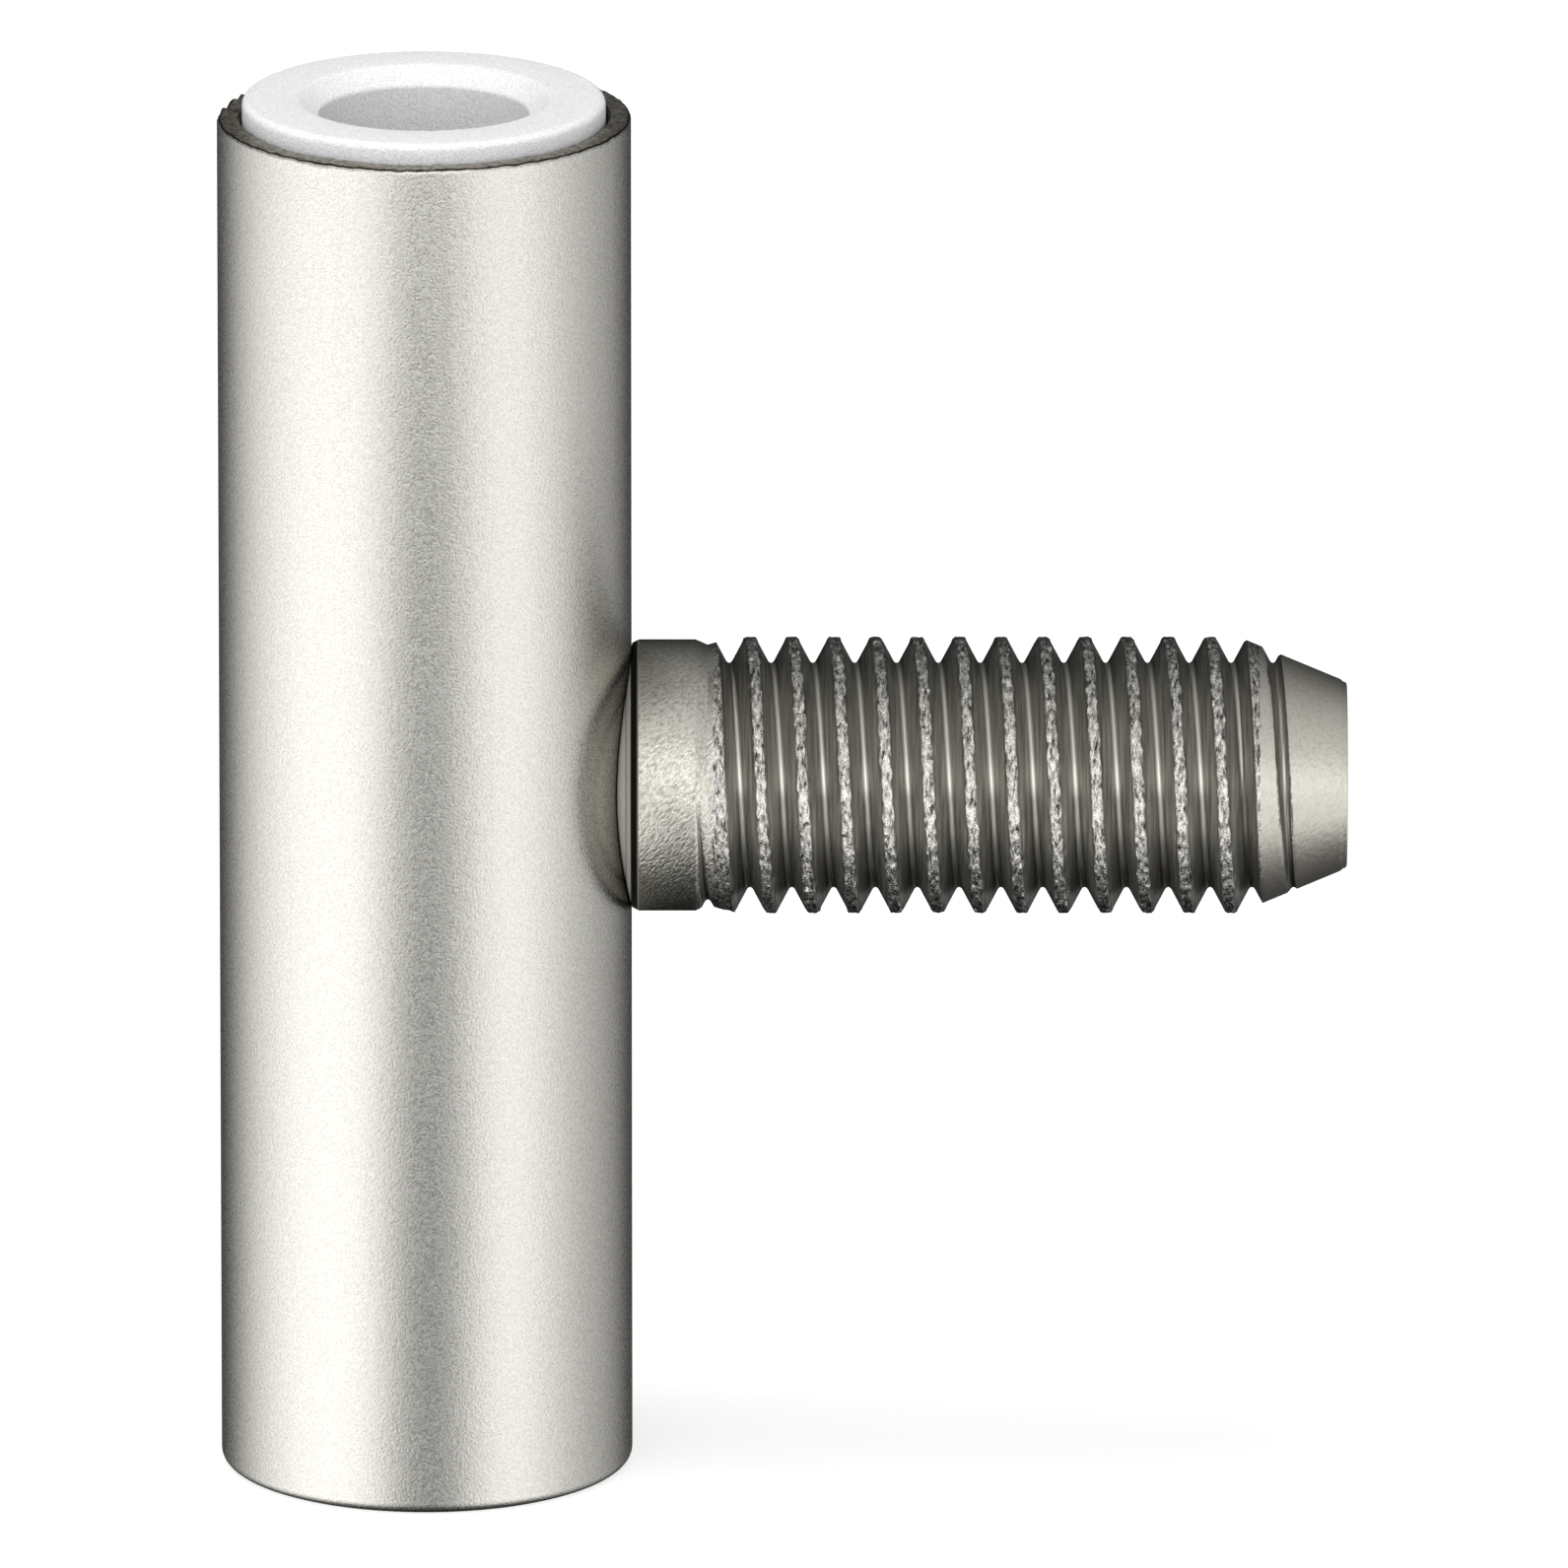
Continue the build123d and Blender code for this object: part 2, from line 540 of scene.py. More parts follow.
@dataclass(frozen=True)
class BarSkin:
    """The drawn bar's own skin, zinc plated, where no thread is rolled.

    Turning marks run round it and spread the gloss along the stud. Handling leaves
    slanting scuffs and shallow pits that glitter in the highlight, fewer on the top side.
    """

    name: str = "scuffed_bar_skin"
    dark: str = "B4B1A4"
    light: str = "E4E2D8"
    roughness: float = 0.26
    scuff_depth: float = 0.085 * MM
    scuff_width: float = 0.11 * MM
    scuff_length: float = 0.26 * MM
    scuffed_below: float = 27.2 * MM
    smooth_above: float = 28.6 * MM
    scuffed_strength: float = 0.7
    smooth_strength: float = 0.28
    contrast: tuple[float, float] = (0.3, 0.55)
    slant: float = math.radians(38)
    turning_spread: float = 0.85

    def build(self) -> bpy.types.Material:
        """Build the bar's skin."""
        material, tree = new_material(self.name)
        place = add_node(tree, "TexCoord")
        slanted = add_node(
            tree,
            "Mapping",
            {
                "vector_type": "TEXTURE",
                "Rotation": (0.0, self.slant, 0.0),
                "Scale": (self.scuff_width, self.scuff_width, self.scuff_length),
            },
            {"Vector": place.outputs["Object"]},
        )
        scuffs = add_node(
            tree,
            "TexNoise",
            {"Scale": 1.0, "Detail": 3.0, "Roughness": 0.6},
            {"Vector": slanted.outputs["Vector"]},
        )
        tint = two_tones(tree, scuffs.outputs["Fac"], self.contrast, (self.dark, self.light))
        parts = add_node(tree, "SeparateXYZ", {}, {"Vector": place.outputs["Object"]})
        handled = add_node(
            tree,
            "MapRange",
            {
                "From Min": self.scuffed_below,
                "From Max": self.smooth_above,
                "To Min": self.scuffed_strength,
                "To Max": self.smooth_strength,
            },
            {"Value": parts.outputs["Z"]},
        )
        bump = add_node(
            tree,
            "Bump",
            {"Distance": self.scuff_depth},
            {"Strength": handled.outputs["Result"], "Height": scuffs.outputs["Fac"]},
        )
        turning = add_node(tree, "Tangent", {"direction_type": "RADIAL", "axis": "X"})
        shader = add_node(
            tree,
            "BsdfPrincipled",
            {
                "Metallic": 1.0,
                "Roughness": self.roughness,
                "Anisotropic": self.turning_spread,
                "Anisotropic Rotation": ACROSS_MARKS,
            },
            {
                "Base Color": tint,
                "Normal": bump.outputs["Normal"],
                "Tangent": turning.outputs["Tangent"],
            },
        )
        add_node(tree, "OutputMaterial", {}, {"Surface": shader.outputs["BSDF"]})
        return material


@dataclass(frozen=True)
class WeldFace:
    """The collar's seat face, blued and scaled by the weld that joins it to the sleeve.

    Light and dark rings are painted by distance from the stud's axis: light flash, a dark band
    of painted shade on the collar's chamfer, and a thinner dark ring further in.
    """

    scale_and_painted_shade: str = "1E1C18"
    flash: str = "F2F0EA"
    roughness: float = 0.75
    inner: float = 2.5 * MM
    outer: float = 5.0 * MM
    # Rings as (distance from the stud's axis in millimetres, share of flash). The dark band
    # from 4.59 to 4.83 mm, on the chamfer, is painted shade.
    rings: tuple[tuple[float, float], ...] = (
        (2.5, 1.0),
        (3.8, 1.0),
        (3.92, 0.35),
        (4.04, 0.8),
        (4.52, 0.8),
        (4.59, 0.0),
        (4.83, 0.0),
        (4.87, 0.55),
    )

    def build(self) -> bpy.types.Material:
        """Build the ringed weld face."""
        material, tree = new_material("ringed_weld_face")
        place = add_node(tree, "TexCoord")
        radius = from_stud_axis(tree, place)
        outwards = add_node(
            tree,
            "MapRange",
            {"From Min": self.inner, "From Max": self.outer},
            {"Value": radius},
        )
        span = self.outer - self.inner
        rings = add_node(
            tree,
            "ValToRGB",
            {"stops": [((ring * MM - self.inner) / span, grey) for ring, grey in self.rings]},
            {"Fac": outwards.outputs["Result"]},
        )
        tint = add_node(
            tree,
            "Mix",
            {"data_type": "RGBA", 6: linear_colour(self.scale_and_painted_shade), 7: linear_colour(self.flash)},
            {"Factor": rings.outputs["Color"]},
        )
        shader = add_node(
            tree,
            "BsdfPrincipled",
            {"Metallic": 1.0, "Roughness": self.roughness},
            {"Base Color": tint.outputs[2]},
        )
        add_node(tree, "OutputMaterial", {}, {"Surface": shader.outputs["BSDF"]})
        return material


def round_corners(
    mesh: bmesh.types.BMesh, corners: list[bmesh.types.BMVert], offset: float, segments: int
) -> None:
    """Round some corners of an open section.

    Args:
        mesh: the section's mesh.
        corners: the corners to round.
        offset: how far each round reaches along its two edges, in millimetres.
        segments: edges across each round.
    """
    bmesh.ops.bevel(
        mesh,
        geom=corners,
        offset=offset * MM,
        offset_type="OFFSET",
        affect="VERTICES",
        segments=segments,
        profile=0.5,
        material=-1,
    )


def lathe(
    corners: list[tuple[float, float]],
    rounds: dict[int, float],
    axis: Vector,
    centre: Vector,
    steps: int = 192,
    round_segments: int = 6,
) -> bmesh.types.BMesh:
    """Turn a closed section about an axis, with some of its corners rounded.

    Args:
        corners: the section as (distance along the axis, radius), in millimetres.
        rounds: corner numbers with the radius of their round, in millimetres.
        axis: unit vector of the axis.
        centre: a point on the axis, where the distance along it is 0, in metres.
        steps: faces round a full turn.
        round_segments: faces across each round.

    Returns:
        A mesh of the turned piece, in metres.
    """
    side = axis.orthogonal().normalized()
    mesh = bmesh.new()
    points = [
        mesh.verts.new(centre + axis * along * MM + side * radius * MM)
        for along, radius in corners
    ]
    for first, second in zip(points, points[1:]):
        mesh.edges.new((first, second))
    for index, radius in rounds.items():
        round_corners(mesh, [points[index]], radius, round_segments)
    bmesh.ops.spin(
        mesh,
        geom=mesh.verts[:] + mesh.edges[:],
        cent=centre,
        axis=axis,
        angle=FULL_TURN,
        steps=steps,
        use_merge=True,
    )
    bmesh.ops.remove_doubles(mesh, verts=mesh.verts[:], dist=MERGE_DISTANCE)
    bmesh.ops.recalc_face_normals(mesh, faces=mesh.faces[:])
    return mesh


def finish_piece(
    mesh: bmesh.types.BMesh,
    name: str,
    node: Node,
    materials: list[bpy.types.Material],
    crease_angle: float = math.radians(32),
) -> bpy.types.Object:
    """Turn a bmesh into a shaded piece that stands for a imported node.

    Args:
        mesh: the finished shape, which is freed.
        name: the new object's name.
        node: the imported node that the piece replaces.
        materials: the piece's material slots, in order.
        crease_angle: edges sharper than this stay crisp.

    Returns:
        The new object.
    """
    data = bpy.data.meshes.new(name)
    for edge in mesh.edges:
        if len(edge.link_faces) == 2:
            edge.smooth = edge.calc_face_angle(0.0) < crease_angle
    for face in mesh.faces:
        face.smooth = True
    mesh.to_mesh(data)
    mesh.free()
    for material in materials:
        data.materials.append(material)
    piece = bpy.data.objects.new(name, data)
    bpy.context.scene.collection.objects.link(piece)
    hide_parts(node.value)
    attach(piece, "root")
    return piece


@dataclass
class HingeKnuckle:
    """The upright plated sleeve with its stepped blind bore, in millimetres.

    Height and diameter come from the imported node. The rest repeats the part's sizes,
    and the low place in the rim lies between two angles from +X, in degrees.
    """

    bottom_round: float = 0.4
    rim_wall: float = 0.8
    rim_round: float = 0.15
    rim_chamfer: float = 0.08
    bare_edge: float = 0.06
    # Width of a near-black line of painted shade on the rim's rounded outer edge.
    edge_shade_width: float = 0.07
    seat_depth: float = 3.0
    shank_bore_radius: float = 5.0
    bore_floor: float = 31.6
    drill_radius: float = 3.75
    drill_point_depth: float = 2.25
    below_bore: float = 1.0
    steps: int = 256
    dip_depth: float = 0.2
    dip_start: float = 146.0
    dip_end: float = 181.0
    dip_ramp: float = 4.0
    burr_width: float = 0.35
    burr_height: float = 0.05
    torn_height: float = 0.2
    wave_width: float = 1.8
    wave_height: float = 0.03

    def __post_init__(self) -> None:
        """Read the sleeve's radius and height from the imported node."""
        low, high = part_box(Node.KNUCKLE.value)
        self.radius = (high[0] - low[0]) / 2 / MM
        self.height = (high[2] - low[2]) / MM

    def section(self) -> list[tuple[float, float]]:
        """Corners of the turned section, as (height, radius)."""
        counterbore = self.radius - self.rim_wall
        shoulder = self.height - self.seat_depth
        return [
            (0.0, 0.0),
            (0.0, self.radius),
            (self.height, self.radius),
            (self.height, counterbore),
            (shoulder, counterbore),
            (shoulder, self.shank_bore_radius),
            (self.bore_floor, self.shank_bore_radius),
            (self.bore_floor, self.drill_radius),
            (self.bore_floor - self.drill_point_depth, 0.0),
        ]

    def roughen_rim(self, mesh: bmesh.types.BMesh) -> None:
        """Give the cut rim its uneven edge and the low place that the photograph shows.

        Args:
            mesh: the turned sleeve.
        """
        for vertex in mesh.verts:
            height = vertex.co.z / MM
            if height < self.height - self.rim_round - 0.01:
                continue
            if vertex.co.xy.length / MM < self.radius - self.rim_wall - 0.02:
                continue
            angle = math.degrees(math.atan2(vertex.co.y, vertex.co.x)) % 360
            into_dip = min(angle - self.dip_start, self.dip_end - angle) / self.dip_ramp
            torn = max(0.0, min(1.0, into_dip))
            burr = self.burr_height + self.torn_height * torn
            rough = noise.noise(vertex.co / (self.burr_width * MM)) * burr
            rough += noise.noise(vertex.co / (self.wave_width * MM)) * self.wave_height
            vertex.co.z += (rough - self.dip_depth * torn) * MM

    def build(self) -> bpy.types.Object:
        """Build and dress the sleeve."""
        mesh = lathe(
            self.section(),
            {1: self.bottom_round, 2: self.rim_round, 3: self.rim_chamfer},
            Vector((0, 0, 1)),
            Vector((0, 0, 0)),
            self.steps,
        )
        # The third slot is near-black painted shade: on the rim's inner chamfer, the
        # counterbore  and the bore, where the gap beside the bush lies in shade, and in a thin
        # line on the  rim's rounded outer edge.
        bare_slot, painted_shade_slot = 1, 2
        for face in mesh.faces:
            centre = face.calc_center_median() / MM
            across = centre.xy.length
            at_rim = centre.z > self.height - self.seat_depth - 0.01
            from_edge = self.radius - across
            bare = at_rim and from_edge > self.bare_edge
            dark = bare and from_edge < self.bare_edge + self.edge_shade_width
            within = from_edge > self.rim_wall - self.rim_chamfer
            in_bore = within and centre.z > self.below_bore
            if in_bore or dark:
                face.material_index = painted_shade_slot
            elif bare:
                face.material_index = bare_slot
        self.roughen_rim(mesh)
        materials = [
            SatinNickel().build(),
            CutSteel().build(),
            # Near-black painted shade for the bore and the rim's edge line.
            CutSteel("painted_shade_steel", "14130F", "39362F").build(),
        ]
        return finish_piece(mesh, "knuckle_sleeve", Node.KNUCKLE, materials)


@dataclass
class BearingBush:
    """The headed plastic bush with its funnel mouth, in millimetres."""

    head_round: float = 0.28
    mouth_round: float = 0.14
    pin_radius: float = 3.75
    funnel_width: float = 0.75
    funnel_depth: float = 0.6
    shank_radius: float = 5.0
    shank_length: float = 15.0
    shank_chamfer: float = 0.4
    throat_round: float = 0.1
    seam_lift: float = 1.0
    steps: int = 192

    def __post_init__(self) -> None:
        """Read the bush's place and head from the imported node."""
        low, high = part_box(Node.BUSH.value)
        self.head_radius = (high[0] - low[0]) / 2 / MM
        self.end = low[2] / MM
        self.top = high[2] / MM

    def section(self) -> list[tuple[float, float]]:
        """Corners of the moulded section, as (height, radius), ending where it starts."""
        mouth = self.pin_radius + self.funnel_width
        shoulder = self.end + self.shank_length
        seam = (self.end + self.seam_lift, self.pin_radius)
        return [
            seam,
            (self.end, self.pin_radius),
            (self.end, self.shank_radius - self.shank_chamfer),
            (self.end + self.shank_chamfer, self.shank_radius),
            (shoulder, self.shank_radius),
            (shoulder, self.head_radius),
            (self.top, self.head_radius),
            (self.top, mouth),
            (self.top - self.funnel_depth, self.pin_radius),
            seam,
        ]

    def build(self) -> bpy.types.Object:
        """Build and dress the bush."""
        mesh = lathe(
            self.section(),
            {6: self.head_round, 7: self.mouth_round, 8: self.throat_round},
            Vector((0, 0, 1)),
            Vector((0, 0, 0)),
            self.steps,
        )
        return finish_piece(
            mesh, "moulded_bush", Node.BUSH, [WhiteAcetal().build()]
        )


@dataclass
class ThreadedStud:
    """The turned and thread-rolled stud, in millimetres from the hinge pin's axis."""

    spigot_radius: float = 2.5
    seat_edge: tuple[float, float] = (7.42, 4.75)
    seat_root: float = 6.82
    collar_start: float = 7.66
    collar_end: float = 9.68
    collar_radius: float = 4.87
    neck: tuple[float, float] = (10.12, 4.68)
    first_full_crest: float = 11.17
    tip_half_angle: float = 22.5
    tip_radius: float = 3.35
    tip_round: float = 0.12
    pitch: float = 1.5
    depth: float = 0.92
    flank_angle: float = 28.0
    crest_flat: float = 0.34
    crest_round: float = 0.04
    top_groove: float = 10.96
    # The groove deepens between these two turns, counted from the swept ribbon's start.
    fade_start: float = 1.125
    fade_end: float = 1.75
    steps: int = 192
    turns: int = 19
    turns_before_groove: float = 2.5
    flank_cuts: int = 4
    collar_cut: float = 9.15
    ragged_from_neck: float = 0.4
    ragged_band: float = 0.12
    ragged_depth: float = 0.15
    ragged_width: float = 0.22
    sway: float = 0.08
    sway_width: float = 0.3
    skin_depth: float = 0.05
    skin_past_neck: float = 0.2

    def __post_init__(self) -> None:
        """Read the stud's axis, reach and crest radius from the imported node."""
        low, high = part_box(Node.STUD.value)
        self.height = (low[2] + high[2]) / 2 / MM
        self.spigot_end = low[0] / MM
        self.tip = high[0] / MM
        self.crest_radius = (high[1] - low[1]) / 2 / MM
        self.tip_start = self.tip - (self.crest_radius - self.tip_radius) / math.tan(
            math.radians(self.tip_half_angle)
        )
        self.ribbon_start = self.top_groove - self.pitch * self.turns_before_groove

    def blank_radius(self, along: float) -> float:
        """Radius of the stud's blank, before its thread is rolled.

        Args:
            along: distance from the hinge pin's axis.

        Returns:
            The radius there.
        """
        stations = [
            (self.collar_end, self.collar_radius),
            self.neck,
            (self.first_full_crest, self.crest_radius),
            (self.tip_start, self.crest_radius),
            (self.tip, self.tip_radius),
        ]
        if along <= stations[0][0]:
            return self.collar_radius
        for (x0, r0), (x1, r1) in zip(stations, stations[1:]):
            if along <= x1:
                return r0 + (r1 - r0) * (along - x0) / (x1 - x0)
        return self.tip_radius

    def groove_lift(self, along: float, turn: float) -> float:
        """How far the groove's floor is still raised where it starts beside the collar.

        Args:
            along: distance from the hinge pin's axis.
            turn: share of a turn from the top, by the right-hand rule about +X.

        Returns:
            The lift in millimetres.
        """
        turns_along = (along - self.ribbon_start) / self.pitch
        wound = turn + math.floor(turns_along - turn + 1e-6)
        left = (self.fade_end - wound) / (self.fade_end - self.fade_start)
        return max(0.0, left) * (self.depth + 0.01)

    def thread_ribbon(self) -> bmesh.types.BMesh:
        """Sweep one pitch of the thread's section along its helix."""
        mesh = bmesh.new()
        half = self.pitch / 2
        lip = self.crest_flat / 2
        flank = math.radians(self.flank_angle)
        sharp_depth = (half - lip) / math.tan(flank)
        root_round = (sharp_depth - self.depth) / (1 / math.sin(flank) - 1)
        offsets = [
            (0.0, self.crest_radius),
            (lip / 2, self.crest_radius),
            (lip, self.crest_radius),
            (half, self.crest_radius - sharp_depth),
            (self.pitch - lip, self.crest_radius),
            (self.pitch - lip / 2, self.crest_radius),
            (self.pitch, self.crest_radius),
        ]
        points = [
            mesh.verts.new(((self.ribbon_start + x) * MM, 0, (self.height + r) * MM))
            for x, r in offsets
        ]
        for first, second in zip(points, points[1:]):
            mesh.edges.new((first, second))
        roundings = (
            ([points[2], points[4]], self.crest_round, 2),
            ([points[3]], root_round / math.tan(flank), 6),
        )
        for corners, offset, segments in roundings:
            round_corners(mesh, corners, offset, segments)
        flanks = [edge for edge in mesh.edges if edge.calc_length() > 0.2 * MM]
        bmesh.ops.subdivide_edges(mesh, edges=flanks, cuts=self.flank_cuts)
        bmesh.ops.spin(
            mesh,
            geom=mesh.verts[:] + mesh.edges[:],
            cent=(0, 0, self.height * MM),
            axis=(1, 0, 0),
            dvec=(self.pitch * MM / self.steps, 0, 0),
            angle=FULL_TURN,
            steps=self.steps,
        )
        one_turn = mesh.verts[:] + mesh.edges[:] + mesh.faces[:]
        for turn in range(1, self.turns):
            copied = bmesh.ops.duplicate(mesh, geom=one_turn)["geom"]
            bmesh.ops.translate(
                mesh,
                verts=[item for item in copied if isinstance(item, bmesh.types.BMVert)],
                vec=(turn * self.pitch * MM, 0, 0),
            )
        bmesh.ops.remove_doubles(mesh, verts=mesh.verts[:], dist=MERGE_DISTANCE)
        return mesh

    def cut_at(self, mesh: bmesh.types.BMesh, along: float, clear: int = 0) -> None:
        """Cut the mesh square across the stud.

        Args:
            mesh: the stud's mesh.
            along: distance from the hinge pin's axis.
            clear: 0 keeps both sides, -1 removes what lies nearer, 1 what lies further.
        """
        bmesh.ops.bisect_plane(
            mesh,
            geom=mesh.verts[:] + mesh.edges[:] + mesh.faces[:],
            dist=0.001 * MM,
            plane_co=(along * MM, 0, 0),
            plane_no=(1, 0, 0),
            clear_inner=clear < 0,
            clear_outer=clear > 0,
        )

    def fit_to_blank(self, mesh: bmesh.types.BMesh) -> None:
        """Bring the swept thread down to the blank it was rolled on, with ragged crests.

        Args:
            mesh: the swept thread.
        """
        below_crest = mesh.verts.layers.float.new("below_crest")
        for vertex in mesh.verts:
            along = vertex.co.x / MM
            across = Vector((0, vertex.co.y, vertex.co.z - self.height * MM))
            radius = across.length / MM
            turn = (math.atan2(-across.y, across.z) / FULL_TURN) % 1.0
            blank = self.blank_radius(along)
            lifted = radius + self.groove_lift(along, turn)
            final = min(blank, lifted)
            vertex[below_crest] = blank - final
            beyond_neck = self.neck[0] + self.ragged_from_neck < along < self.tip_start
            if final > self.crest_radius - self.ragged_band and beyond_neck:
                ragged = noise.noise(vertex.co / (self.ragged_width * MM))
                final -= self.ragged_depth * abs(ragged)
                sway = noise.noise(vertex.co / (self.sway_width * MM))
                vertex.co.x += self.sway * sway * MM
            across *= final / radius
            vertex.co.y = across.y
            vertex.co.z = self.height * MM + across.z

    def extend_end(
        self, mesh: bmesh.types.BMesh, at: float, stations: list[tuple[float, float]]
    ) -> None:
        """Draw the open end at one place out through further rings, and close it.

        Args:
            mesh: the stud's mesh.
            at: where the open end lies.
            stations: the further rings, as (distance along, radius).
        """
        rim = [
            edge for edge in mesh.edges
            if edge.is_boundary and abs(edge.verts[0].co.x - at * MM) < 0.01 * MM
        ]
        for along, radius in stations:
            drawn = bmesh.ops.extrude_edge_only(mesh, edges=rim)["geom"]
            rim = [item for item in drawn if isinstance(item, bmesh.types.BMEdge)]
            for vertex in (item for item in drawn if isinstance(item, bmesh.types.BMVert)):
                across = Vector((0, vertex.co.y, vertex.co.z - self.height * MM)).normalized()
                vertex.co = across * radius * MM + Vector((along, 0, self.height)) * MM
        bmesh.ops.contextual_create(mesh, geom=rim)

    def build(self) -> bpy.types.Object:
        """Build and dress the stud."""
        mesh = self.thread_ribbon()
        tip_cut = self.tip - 2 * self.tip_round
        self.cut_at(mesh, self.collar_cut, clear=-1)
        self.cut_at(mesh, tip_cut, clear=1)
        for along in (self.collar_end, self.neck[0], self.first_full_crest, self.tip_start):
            self.cut_at(mesh, along)
        self.fit_to_blank(mesh)
        self.extend_end(
            mesh,
            self.collar_cut,
            [
                (self.collar_start, self.collar_radius),
                self.seat_edge,
                (self.seat_root, self.spigot_radius),
                (self.spigot_end, self.spigot_radius),
            ],
        )
        angles = [math.pi / 2 * step / 4 for step in range(5)]
        edge_arc = [
            (
                self.tip - self.tip_round * (1 - math.sin(angle)),
                self.tip_radius - self.tip_round * (1 - math.cos(angle)),
            )
            for angle in angles
        ]
        self.extend_end(mesh, tip_cut, edge_arc)
        bmesh.ops.recalc_face_normals(mesh, faces=mesh.faces[:])
        below_crest = mesh.verts.layers.float["below_crest"]
        skin_slot, tip_slot, weld_slot = 1, 2, 3
        for face in mesh.faces:
            along = face.calc_center_median().x / MM
            deepest = max(vertex[below_crest] for vertex in face.verts)
            on_blank = deepest < self.skin_depth
            if along < self.collar_start:
                face.material_index = weld_slot
            elif along < self.neck[0] + self.skin_past_neck and on_blank:
                face.material_index = skin_slot
            elif along > self.tip_start + self.pitch / 2 and on_blank:
                face.material_index = tip_slot
        tip_skin = BarSkin(
            "turned_tip_skin", "D6D2C6", "E8E5DA", roughness=0.46, scuff_depth=0.03 * MM
        )
        materials = [
            RolledThread().build(),
            BarSkin().build(),
            tip_skin.build(),
            WeldFace().build(),
        ]
        return finish_piece(mesh, "rolled_stud", Node.STUD, materials)


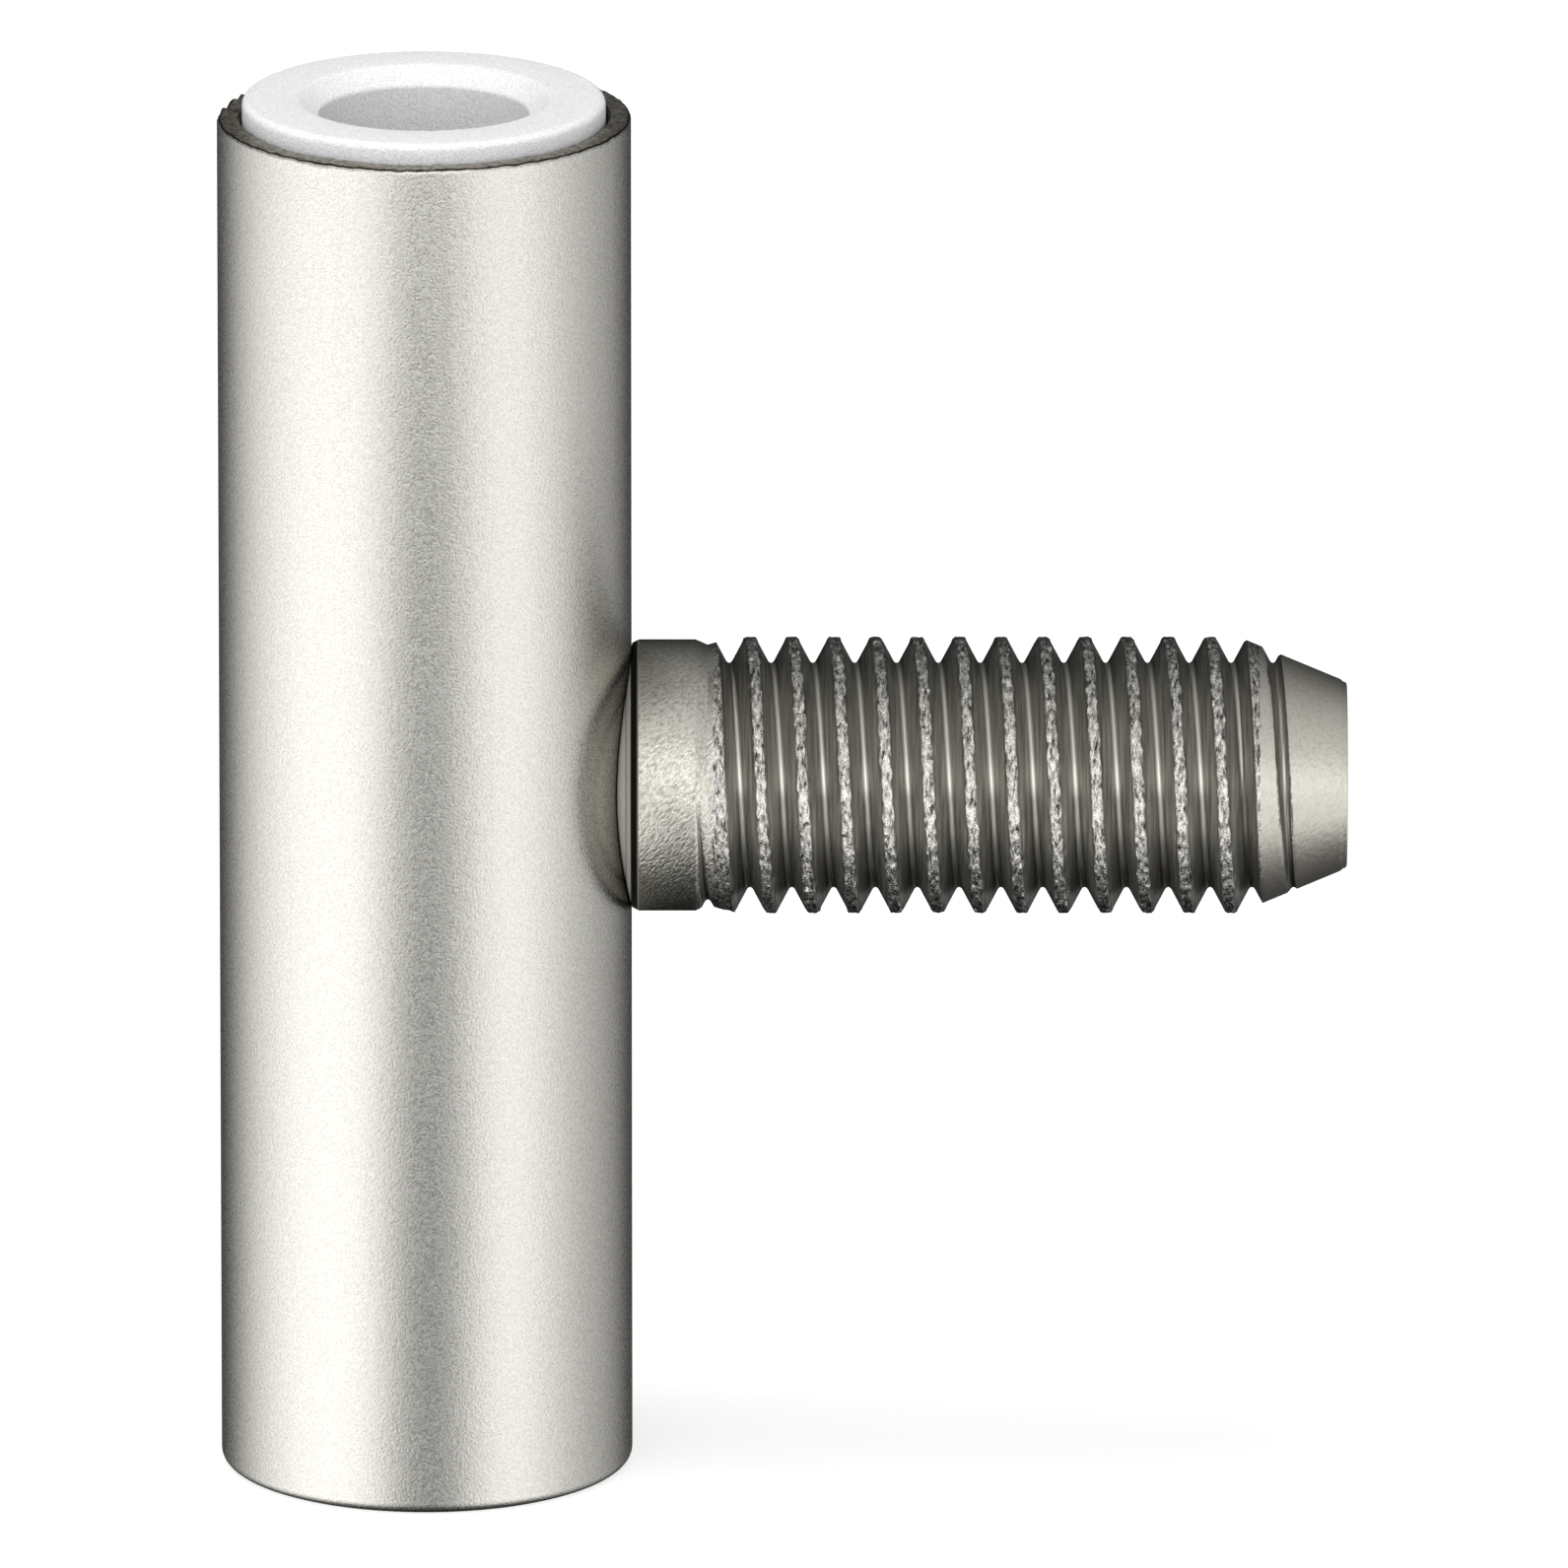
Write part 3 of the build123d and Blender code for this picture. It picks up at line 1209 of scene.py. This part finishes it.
@dataclass
class Studio:
    """Camera, pale floor and soft light, with the photograph's viewing angle.

    Distance, lens and aim are in millimetres, the floor and the lamp in metres.
    """

    distance: float = 1500.0
    elevation: float = 16.17
    lens: float = 960.0
    aim: tuple[float, float, float] = (12.86, 0.0, 25.16)
    level: float = 2.06
    floor_size: float = 3.0
    floor_grey: float = 0.8
    shadow_grey: float = 0.45
    floor_glow: float = 0.68
    # The side boxes reach lower at the sides, and the front fades in above them.
    side_reach: float = 0.2
    front_fade: tuple[float, float] = (-0.1, 0.05)
    lamp_place: tuple[float, float, float] = (-0.1, -0.06, 0.88)
    lamp_size: float = 0.5
    lamp_power: float = 5.1

    def camera(self) -> None:
        """Place the camera."""
        data = bpy.data.cameras.new("photo_camera")
        data.lens = self.lens
        data.sensor_width = 36.0
        data.clip_start = 0.01
        data.clip_end = 20.0
        camera = bpy.data.objects.new("photo_camera", data)
        bpy.context.scene.collection.objects.link(camera)
        tilt = math.radians(self.elevation)
        back = Vector((0, -math.cos(tilt), math.sin(tilt)))
        camera.location = (Vector(self.aim) + back * self.distance) * MM
        camera.rotation_euler = (math.pi / 2 - tilt, 0, 0)
        bpy.context.scene.camera = camera

    def floor(self) -> None:
        """Lay the pale floor, white to the camera apart from the part's shadow."""
        mesh = bmesh.new()
        bmesh.ops.create_grid(mesh, x_segments=1, y_segments=1, size=self.floor_size)
        data = bpy.data.meshes.new("floor")
        mesh.to_mesh(data)
        mesh.free()
        material, tree = new_material("pale_floor")
        path = add_node(tree, "LightPath")
        plain, shaded = [
            add_node(tree, "BsdfDiffuse", {"Color": (grey, grey, grey, 1.0)})
            for grey in (self.floor_grey, self.shadow_grey)
        ]
        glow = add_node(tree, "Emission", {"Strength": self.floor_glow})
        white = add_node(tree, "AddShader", {}, {0: shaded.outputs[0], 1: glow.outputs[0]})
        clear = add_node(tree, "BsdfTransparent")
        seen = add_node(
            tree,
            "MixShader",
            {},
            {0: path.outputs["Is Camera Ray"], 1: plain.outputs[0], 2: white.outputs[0]},
        )
        mirrored = add_node(
            tree,
            "Math",
            {"operation": "MAXIMUM"},
            {0: path.outputs["Is Glossy Ray"], 1: path.outputs["Is Transmission Ray"]},
        )
        mixed = add_node(
            tree,
            "MixShader",
            {},
            {0: mirrored.outputs["Value"], 1: seen.outputs[0], 2: clear.outputs[0]},
        )
        add_node(tree, "OutputMaterial", {}, {"Surface": mixed.outputs[0]})
        data.materials.append(material)
        floor = bpy.data.objects.new("floor", data)
        floor.visible_shadow = False
        bpy.context.scene.collection.objects.link(floor)

    def world(self) -> None:
        """Light the part from tall soft boxes on both sides, with dark gaps between.

        Side stops run round the horizon as (share of a turn, light), height stops from
        straight below to straight above, and front stops from the camera to the back.
        """
        world = bpy.data.worlds.new("studio")
        world.use_nodes = True
        tree = world.node_tree
        tree.nodes.clear()
        place = add_node(tree, "TexCoord")
        around = add_node(
            tree,
            "TexGradient",
            {"gradient_type": "RADIAL"},
            {"Vector": place.outputs["Generated"]},
        )
        side_stops = [
            (0.0, 0.64),
            (0.044, 0.745),
            (0.09, 0.785),
            (0.15, 0.76),
            (0.18, 0.56),
            (0.206, 0.29),
            (0.23, 0.14),
            (0.255, 0.1),
            (0.28, 0.14),
            (0.31, 0.34),
            (0.345, 0.63),
            (0.378, 0.685),
            (0.41, 0.665),
            (0.464, 0.465),
            (0.497, 0.376),
            (0.533, 0.3),
            (0.575, 0.27),
            (0.63, 0.22),
            (0.67, 0.08),
            (0.75, 0.005),
            (0.806, 0.005),
            (0.853, 0.14),
            (0.886, 0.26),
            (0.936, 0.45),
            (0.978, 0.56),
            (1.0, 0.64),
        ]
        sides = add_node(
            tree, "ValToRGB", {"stops": side_stops}, {"Fac": around.outputs["Fac"]}
        )
        parts = add_node(tree, "SeparateXYZ", {}, {"Vector": place.outputs["Generated"]})
        sideways = add_node(tree, "Math", {"operation": "ABSOLUTE"}, {0: parts.outputs["X"]})
        reach = add_node(
            tree,
            "Math",
            {"operation": "MULTIPLY_ADD", 1: self.side_reach},
            {0: sideways.outputs["Value"], 2: parts.outputs["Z"]},
        )
        upright = add_node(
            tree,
            "MapRange",
            {"From Min": -1.0, "From Max": 1.0},
            {"Value": reach.outputs["Value"]},
        )
        height_stops = [
            (0.0, 0.03),
            (0.05, 0.06),
            (0.1, 0.14),
            (0.165, 0.38),
            (0.22, 0.72),
            (0.3, 1.0),
            (1.0, 1.0),
        ]
        heights = add_node(
            tree, "ValToRGB", {"stops": height_stops}, {"Fac": upright.outputs["Result"]}
        )
        ahead = add_node(
            tree, "MapRange", {"From Min": -1.0, "From Max": 1.0}, {"Value": parts.outputs["Y"]}
        )
        front_stops = [
            (0.0, 0.86),
            (0.04, 0.86),
            (0.075, 0.56),
            (0.11, 0.43),
            (0.275, 0.35),
            (0.5, 0.26),
            (0.66, 0.19),
            (0.83, 0.1),
            (1.0, 0.02),
        ]
        front = add_node(
            tree, "ValToRGB", {"stops": front_stops}, {"Fac": ahead.outputs["Result"]}
        )
        low = add_node(
            tree,
            "Math",
            {"operation": "MULTIPLY"},
            {0: sides.outputs["Color"], 1: heights.outputs["Color"]},
        )
        above = add_node(
            tree,
            "MapRange",
            {
                "interpolation_type": "SMOOTHSTEP",
                "From Min": self.front_fade[0],
                "From Max": self.front_fade[1],
            },
            {"Value": parts.outputs["Z"]},
        )
        shaped = add_node(
            tree,
            "Mix",
            {"data_type": "FLOAT"},
            {0: above.outputs["Result"], 2: low.outputs["Value"], 3: front.outputs["Color"]},
        )
        lit = add_node(
            tree, "Background", {"Strength": self.level}, {"Color": shaped.outputs[0]}
        )
        white = add_node(tree, "Background", {"Color": (1.0, 1.0, 1.0, 1.0)})
        path = add_node(tree, "LightPath")
        mixed = add_node(
            tree,
            "MixShader",
            {},
            {0: path.outputs["Is Camera Ray"], 1: lit.outputs[0], 2: white.outputs[0]},
        )
        add_node(tree, "OutputWorld", {}, {"Surface": mixed.outputs[0]})
        bpy.context.scene.world = world

    def lamp(self) -> None:
        """Hang a soft square lamp above the part, which only diffuse surfaces see."""
        data = bpy.data.lights.new("top_soft_box", "AREA")
        data.shape = "SQUARE"
        data.size = self.lamp_size
        data.energy = self.lamp_power
        lamp = bpy.data.objects.new("top_soft_box", data)
        lamp.location = self.lamp_place
        towards = Vector(self.aim) * MM - lamp.location
        lamp.rotation_euler = towards.to_track_quat("-Z", "Y").to_euler()
        lamp.visible_glossy = False
        bpy.context.scene.collection.objects.link(lamp)

    def build(self) -> None:
        """Set up the whole studio."""
        self.camera()
        self.floor()
        self.world()
        self.lamp()
        bpy.context.scene.view_settings.view_transform = "Standard"


def main() -> None:
    """Build every piece in order, then the studio."""
    logging.basicConfig(level=logging.INFO)
    for maker in (HingeKnuckle(), BearingBush(), ThreadedStud()):
        piece = maker.build()
        log.info("%s: %d faces", piece.name, len(piece.data.polygons))
    Studio().build()


if __name__ == "__main__":
    main()
